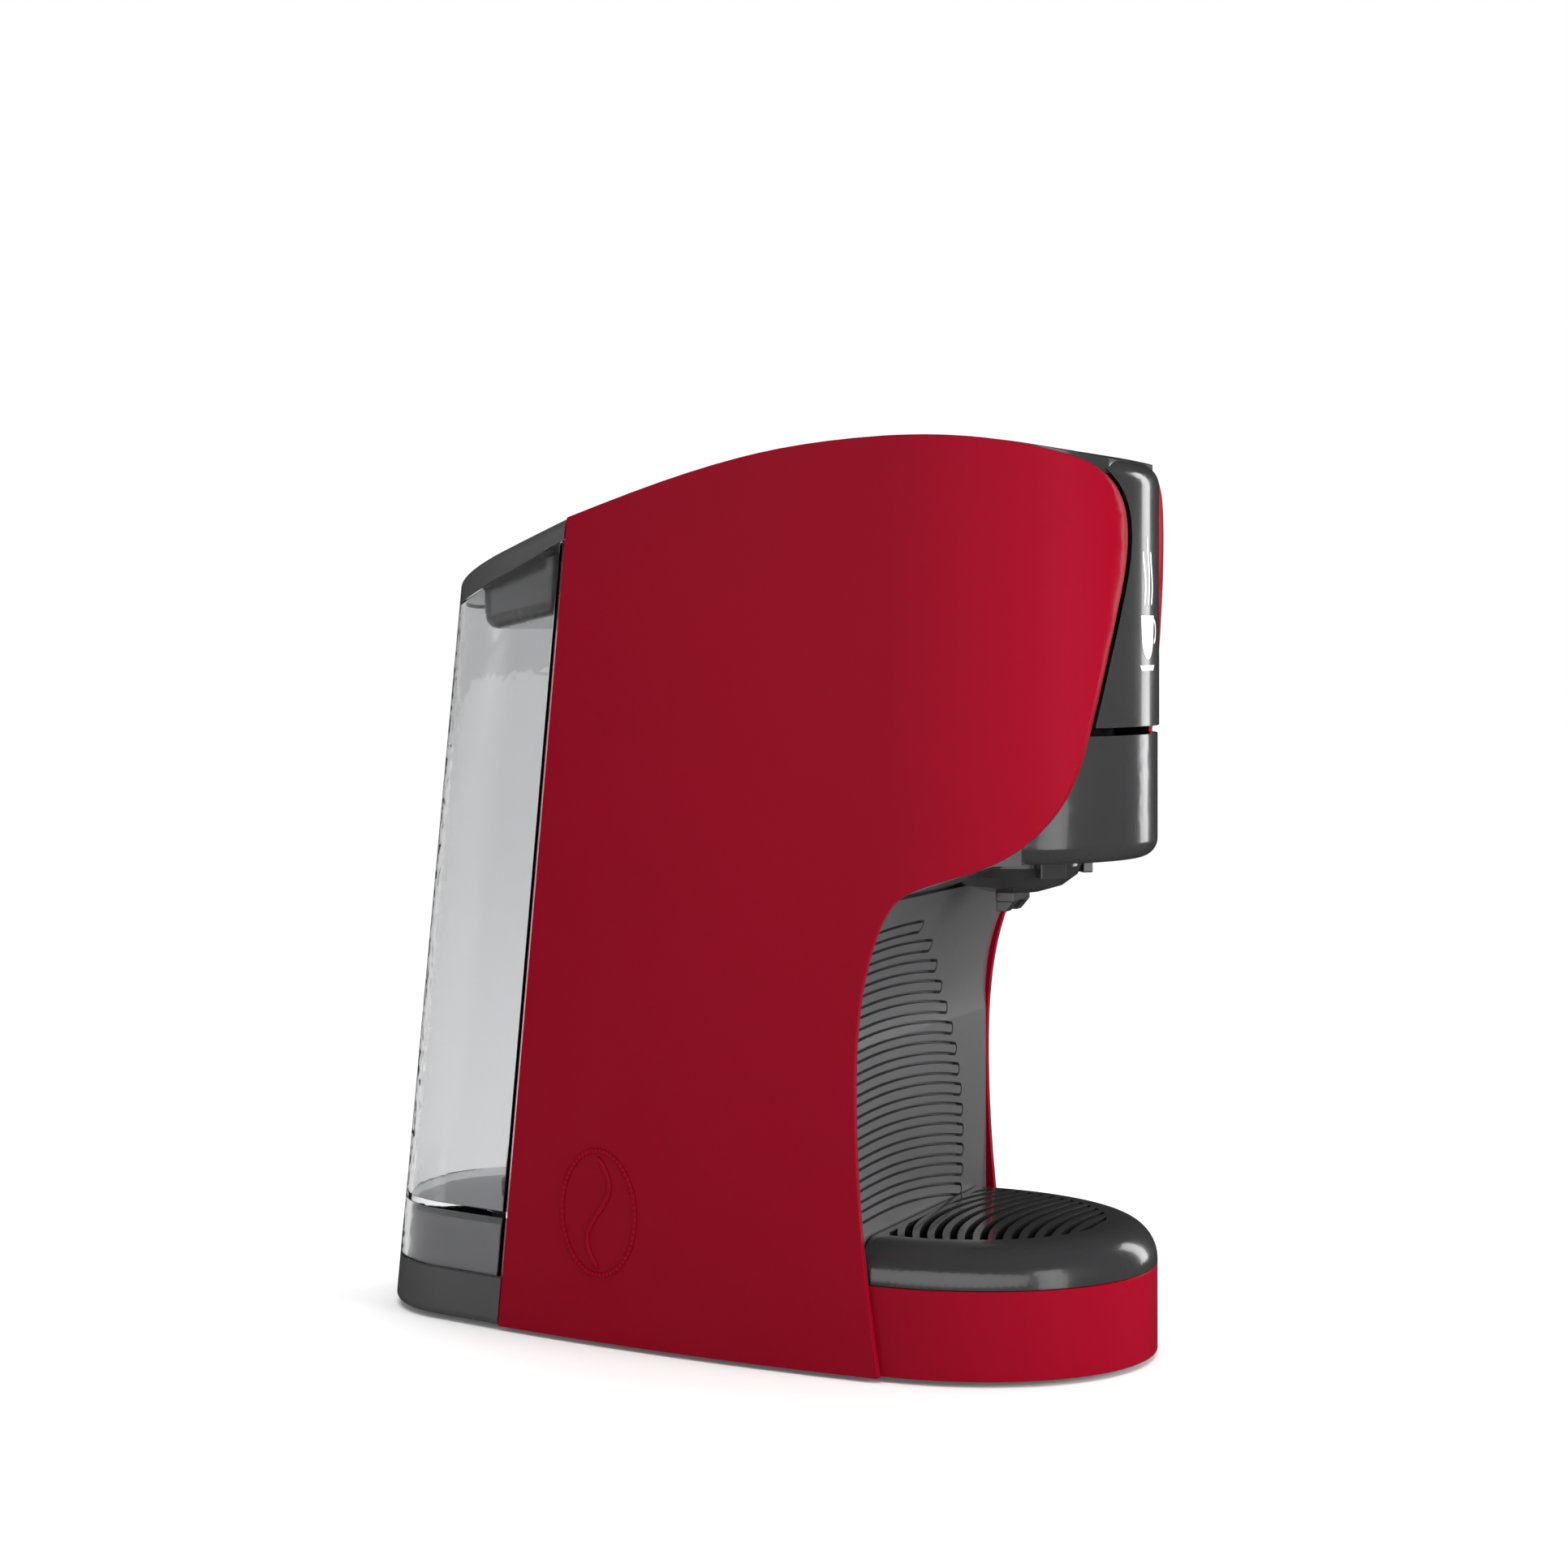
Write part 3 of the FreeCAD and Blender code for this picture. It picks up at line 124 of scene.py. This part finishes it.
def metal(name, color, roughness, stretch, texture=0.08):
    """Metal with brushing or casting grain."""
    material, tree, bsdf = shader(name, color, roughness, metallic=1.0)
    lines = noise(tree, 260.0, 5.0, stretch)
    tree.links.new(tint(tree, spread(tree, lines, 0, 1), color, 0.1), bsdf.inputs["Base Color"])
    tree.links.new(spread(tree, lines, roughness * 0.75, roughness * 1.3), bsdf.inputs["Roughness"])
    grain(tree, bsdf, lines, texture, 0.0003)
    return material


def rubber(name, color):
    material, tree, bsdf = shader(name, color, 0.75, specular=0.3)
    dust = noise(tree, 60.0, 6.0)
    tree.links.new(tint(tree, spread(tree, dust, 0, 1), color, 0.25), bsdf.inputs["Base Color"])
    tree.links.new(spread(tree, dust, 0.65, 0.85), bsdf.inputs["Roughness"])
    grain(tree, bsdf, noise(tree, 1500.0, 2.0), 0.2, 0.0003)
    return material


def clear_plastic(name, color, roughness):
    """Clear moulded plastic with faint flow marks."""
    material, tree, bsdf = shader(name, color, roughness, transmission=1.0, ior=1.3, specular=0.5)
    marks = noise(tree, 14.0, 2.0, (1, 1, 0.3))
    tree.links.new(spread(tree, marks, roughness * 0.7, roughness * 1.5), bsdf.inputs["Roughness"])
    tree.links.new(tint(tree, spread(tree, marks, 0, 1), color, 0.02), bsdf.inputs["Base Color"])
    return material


RED = plastic("red_shell_plastic", (0.235, 0.001, 0.0115), 0.34, drift=0.03,
              texture=(700, 0.01), specular=0.045)
BLACK_GLOSS = plastic("black_gloss_plastic", (0.028, 0.028, 0.029), 0.2, coat=0.3, texture=(700, 0.015))
LID_GLOSS = plastic("lid_gloss_plastic", (0.07, 0.07, 0.072), 0.25, coat=0.3,
                    texture=(700, 0.015))
BLACK_SATIN = plastic("black_satin_plastic", (0.072, 0.072, 0.074), 0.4, texture=(1300, 0.12))
GREY_SATIN = plastic("grey_satin_plastic", (0.19, 0.19, 0.194), 0.45, texture=(1300, 0.1))
WHITE = plastic("white_key_plastic", (0.75, 0.75, 0.73), 0.35, coat=0.2)
PRINT = plastic("white_print", (0.85, 0.85, 0.85), 0.5, drift=0.02, texture=(2000, 0.05))
BOARD = plastic("board_green", (0.02, 0.14, 0.05), 0.4, drift=0.2)
CLEAR = clear_plastic("clear_tank_plastic", (0.715, 0.717, 0.722), 0.02)
STEEL = metal("frame_steel_sheet", (0.55, 0.56, 0.58), 0.32, (1, 1, 12))
PIN_STEEL = metal("ground_pin_steel", (0.72, 0.72, 0.74), 0.16, (14, 1, 1), 0.03)
CAST = metal("cast_aluminium", (0.66, 0.66, 0.67), 0.42, (1, 1, 1), 0.2)
BRASS = metal("pump_brass", (0.72, 0.52, 0.24), 0.35, (1, 8, 1), 0.05)
RUBBER = rubber("black_rubber", (0.02, 0.02, 0.02))
SILICONE = rubber("hose_silicone", (0.62, 0.6, 0.55))

FINISH = {"red_gloss": RED, "black_gloss": BLACK_GLOSS, "black_satin": BLACK_SATIN,
          "grey_satin": GREY_SATIN, "clear_tank": CLEAR, "white_plastic": WHITE, "frame_steel": STEEL,
          "pin_steel": PIN_STEEL, "cast_metal": CAST, "brass": BRASS, "rubber_black": RUBBER,
          "board_green": BOARD, "hose_clear": SILICONE}

slot_of = {item["node"]: item["material_slot"] for item in frame["record"]["subparts"]}
for name, node in nodes.items():
    node.data.materials.clear()
    node.data.materials.append(FINISH[slot_of[name]])
nodes["tank_lid"].data.materials[0] = LID_GLOSS

# ---------------------------------------------------------------- softened edges of the CAD pieces

BEVEL = {"left_side_shell": 0.5, "right_side_shell": 0.5, "hood": 0.4, "head_front": 0.4,
         "drip_cover": 0.25, "base_ring": 0.4, "tank_lid": 0.4, "rear_shelf": 0.4, "top_cover": 0.4,
         "alcove_wall": 0.3, "water_tank": 0.3, "power_button": 0.5, "brew_button": 0.5,
         "spout_nozzle": 0.3, "left_spout_latch": 0.4, "right_spout_latch": 0.4, "tank_pedestal": 0.5}
for name, width in BEVEL.items():
    weld = nodes[name].modifiers.new("weld", "WELD")
    weld.merge_threshold = 0.00001
    bevel = nodes[name].modifiers.new("edge", "BEVEL")
    bevel.width = width / 1000
    bevel.segments = 3
    bevel.limit_method = "ANGLE"
    bevel.angle_limit = math.radians(35)
    bevel.harden_normals = False
    nodes[name].modifiers.new("normals", "WEIGHTED_NORMAL").keep_sharp = True

# ---------------------------------------------------------------- printed and raised marks


def surface_of(name):
    """Search tree over a CAD node's own mesh."""
    mesh = bmesh.new()
    mesh.from_mesh(nodes[name].data)
    tree = BVHTree.FromBMesh(mesh)
    mesh.free()
    return tree


def applied(label, outlines, tree, project, lift, thick, material, body):
    """Flat outlines laid on a surface along a direction, with a little thickness."""
    mesh = bmesh.new()
    for outline in outlines:
        face = mesh.faces.new([mesh.verts.new((u, v, 0)) for u, v in outline])
        face.normal_update()
    bmesh.ops.triangulate(mesh, faces=mesh.faces[:])
    longest = 0.0012
    for _ in range(6):
        edges = [edge for edge in mesh.edges if edge.calc_length() > longest]
        if not edges:
            break
        bmesh.ops.subdivide_edges(mesh, edges=edges, cuts=1)
        bmesh.ops.triangulate(mesh, faces=mesh.faces[:])
    for vert in mesh.verts:
        start, direction = project(vert.co.x, vert.co.y)
        hit, normal, _, _ = tree.ray_cast(start, direction)
        if normal.dot(direction) > 0:
            normal = -normal
        vert.co = hit + normal * lift
    data = bpy.data.meshes.new(label)
    mesh.to_mesh(data)
    mesh.free()
    piece = bpy.data.objects.new(label, data)
    scene.collection.objects.link(piece)
    data.materials.append(material)
    solid = piece.modifiers.new("thickness", "SOLIDIFY")
    solid.thickness = thick
    solid.offset = 0
    for polygon in data.polygons:
        polygon.use_smooth = True
    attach(piece, body)
    return piece


def strip(points, width):
    """Closed outline of a line of even width with round ends."""
    left, right = [], []
    for index, (u, v) in enumerate(points):
        before = points[max(index - 1, 0)]
        after = points[min(index + 1, len(points) - 1)]
        run = math.hypot(after[0] - before[0], after[1] - before[1])
        side = (-(after[1] - before[1]) / run, (after[0] - before[0]) / run)
        share = width / 2
        if index in (0, len(points) - 1):
            share *= 0.45
        left.append((u + side[0] * share, v + side[1] * share))
        right.append((u - side[0] * share, v - side[1] * share))
    return left + right[::-1]


def ring(centre, radii, width, start=0, end=360, steps=40):
    """Outlines of the short spans of an oval band."""
    pieces = []
    for step in range(steps):
        turns = [math.radians(start + (end - start) * (step + k) / steps) for k in (0, 1)]
        outer = [(centre[0] + radii[0] * math.cos(t), centre[1] + radii[1] * math.sin(t)) for t in turns]
        inner = [(centre[0] + (radii[0] - width) * math.cos(t), centre[1] + (radii[1] - width) * math.sin(t))
                 for t in turns]
        pieces.append([outer[0], outer[1], inner[1], inner[0]])
    return pieces


def cup_print():
    """Plain white cup with steam on the front of the hood."""
    base = 0.228
    bowl = []
    for step in range(13):
        turn = math.pi + math.pi * step / 12
        bowl.append((0.0078 * math.cos(turn), base + 0.0105 + 0.0095 * math.sin(turn)))
    bowl += [(0.0085, base + 0.0175), (-0.0085, base + 0.0175)]
    saucer = [(-0.0095, base - 0.0012), (0.0095, base - 0.0012), (0.0075, base - 0.0032),
              (-0.0075, base - 0.0032)]
    shapes = [bowl, saucer] + ring((0.0088, base + 0.0115), (0.0042, 0.0048), 0.0013, -80, 80, 14)
    for offset, tall in ((-0.0048, 0.020), (0.0, 0.026), (0.0048, 0.020)):
        wave = [(offset + 0.0014 * math.sin(4.6 * k / 14), base + 0.0215 + tall * k / 14) for k in range(15)]
        shapes.append(strip(wave, 0.0017))
    shapes = [[(0.62 * u, base + 0.86 * (v - base)) for u, v in outline] for outline in shapes]
    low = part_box("hood")[0]
    turn = math.radians(8)
    across = Vector((math.cos(turn), -math.sin(turn), 0))
    ahead = Vector((math.sin(turn), math.cos(turn), 0))
    centre_x = -0.004
    stand_off = 0.05

    def project(u, v):
        return Vector((centre_x, low.y, v)) + across * u - ahead * stand_off, ahead

    applied("cup_print", shapes, surface_of("hood"), project, 0.00006, 0.00008, PRINT, "hood")


def bean_mark():
    """Plain coffee bean raised on the lower part of each side shell."""
    centre = (0.036, 0.0445)
    for side, shell in ((-1, "left_side_shell"), (1, "right_side_shell")):
        tree = surface_of(shell)
        shapes = ring(centre, (0.0155, 0.0215), 0.0016, steps=64)
        crease = []
        for step in range(25):
            share = step / 24
            crease.append((centre[0] + 0.0045 * math.sin(2 * math.pi * share),
                           centre[1] + 0.037 * (share - 0.5)))
        shapes.append(strip(crease, 0.0018))

        def project(u, v):
            return Vector((side * 0.2, u, v)), Vector((-side, 0, 0))

        name = "bean_mark_" + ("left" if side < 0 else "right")
        applied(name, shapes, tree, project, 0.0001, 0.0006, RED, "base")


cup_print()
bean_mark()

# ---------------------------------------------------------------- camera, floor and light

camera_data = bpy.data.cameras.new("camera")
camera = bpy.data.objects.new("camera", camera_data)
scene.collection.objects.link(camera)
camera.location = (-0.9472, -0.43625, 0.2398)
camera.rotation_euler = Vector((0.911, 0.4123, 0)).to_track_quat("-Z", "Y").to_euler()
camera_data.lens = 69.66
camera_data.sensor_width = 36.0
camera_data.shift_y = -0.101
camera_data.clip_start = 0.01
scene.camera = camera


def softbox(name, place, target, width, height, power, mirrored=True, lighting=True):
    """Rectangular lamp; it can light without being mirrored, or be mirrored without lighting."""
    data = bpy.data.lights.new(name, "AREA")
    data.shape = "RECTANGLE"
    data.size = width
    data.size_y = height
    data.energy = power
    light = bpy.data.objects.new(name, data)
    scene.collection.objects.link(light)
    light.location = place
    light.rotation_euler = (Vector(target) - Vector(place)).to_track_quat("-Z", "Y").to_euler()
    light.visible_glossy = mirrored
    light.visible_diffuse = lighting


softbox("front_box", (-0.25, -1.6, 0.3), (-0.02, -0.05, 0.16), 0.7, 1.3, 34, mirrored=False)
softbox("front_card", (-0.72, -1.5, 0.3), (-0.02, -0.05, 0.16), 0.5, 1.3, 6, lighting=False)
softbox("side_card", (-2.2, -0.2, 0.45), (0, 0, 0.15), 4.4, 1.5, 40, lighting=False)
softbox("rear_box", (-1.3, 1.3, 0.9), (0, 0.1, 0.15), 0.5, 1.0, 4)
softbox("right_box", (1.3, -0.9, 0.5), (0, 0, 0.15), 0.4, 1.0, 6)

overhead = bpy.data.lights.new("overhead", "SUN")
overhead.energy = 2.8
overhead.angle = math.radians(60)
overhead_lamp = bpy.data.objects.new("overhead", overhead)
overhead_lamp.visible_glossy = False
scene.collection.objects.link(overhead_lamp)


def studio():
    """Even pale surroundings, fainter where a glossy surface mirrors them."""
    world = bpy.data.worlds.new("studio")
    scene.world = world
    world.use_nodes = True
    tree = world.node_tree
    path = tree.nodes.new("ShaderNodeLightPath")

    def background(strength):
        node = tree.nodes.new("ShaderNodeBackground")
        node.inputs["Color"].default_value = (1, 1, 1, 1)
        node.inputs["Strength"].default_value = strength
        return node.outputs["Background"]

    def choose(factor, first, second):
        mix = tree.nodes.new("ShaderNodeMixShader")
        tree.links.new(path.outputs[factor], mix.inputs["Fac"])
        tree.links.new(first, mix.inputs[1])
        tree.links.new(second, mix.inputs[2])
        return mix.outputs["Shader"]

    around = choose("Is Glossy Ray", background(0.25), background(0.03))
    around = choose("Is Transmission Ray", around, background(0.8))
    around = choose("Is Camera Ray", around, background(1.0))
    tree.links.new(around, tree.nodes["World Output"].inputs["Surface"])


def floor():
    data = bpy.data.meshes.new("studio_floor")
    side = 14.0
    data.from_pydata([(-side, -side, 0), (side, -side, 0), (side, side, 0), (-side, side, 0)], [],
                     [(0, 1, 2, 3)])
    piece = bpy.data.objects.new("studio_floor", data)
    scene.collection.objects.link(piece)
    material, tree, bsdf = shader("floor_paint", (0.94, 0.94, 0.94), 0.6, specular=0.2)
    bsdf.inputs["Emission Color"].default_value = (1, 1, 1, 1)
    bsdf.inputs["Emission Strength"].default_value = 0.07
    paint = noise(tree, 2.0, 2.0)
    tree.links.new(tint(tree, paint, (0.94, 0.94, 0.94), 0.01), bsdf.inputs["Base Color"])
    data.materials.append(material)
    piece.visible_glossy = False


studio()
floor()
scene.view_settings.view_transform = "Standard"
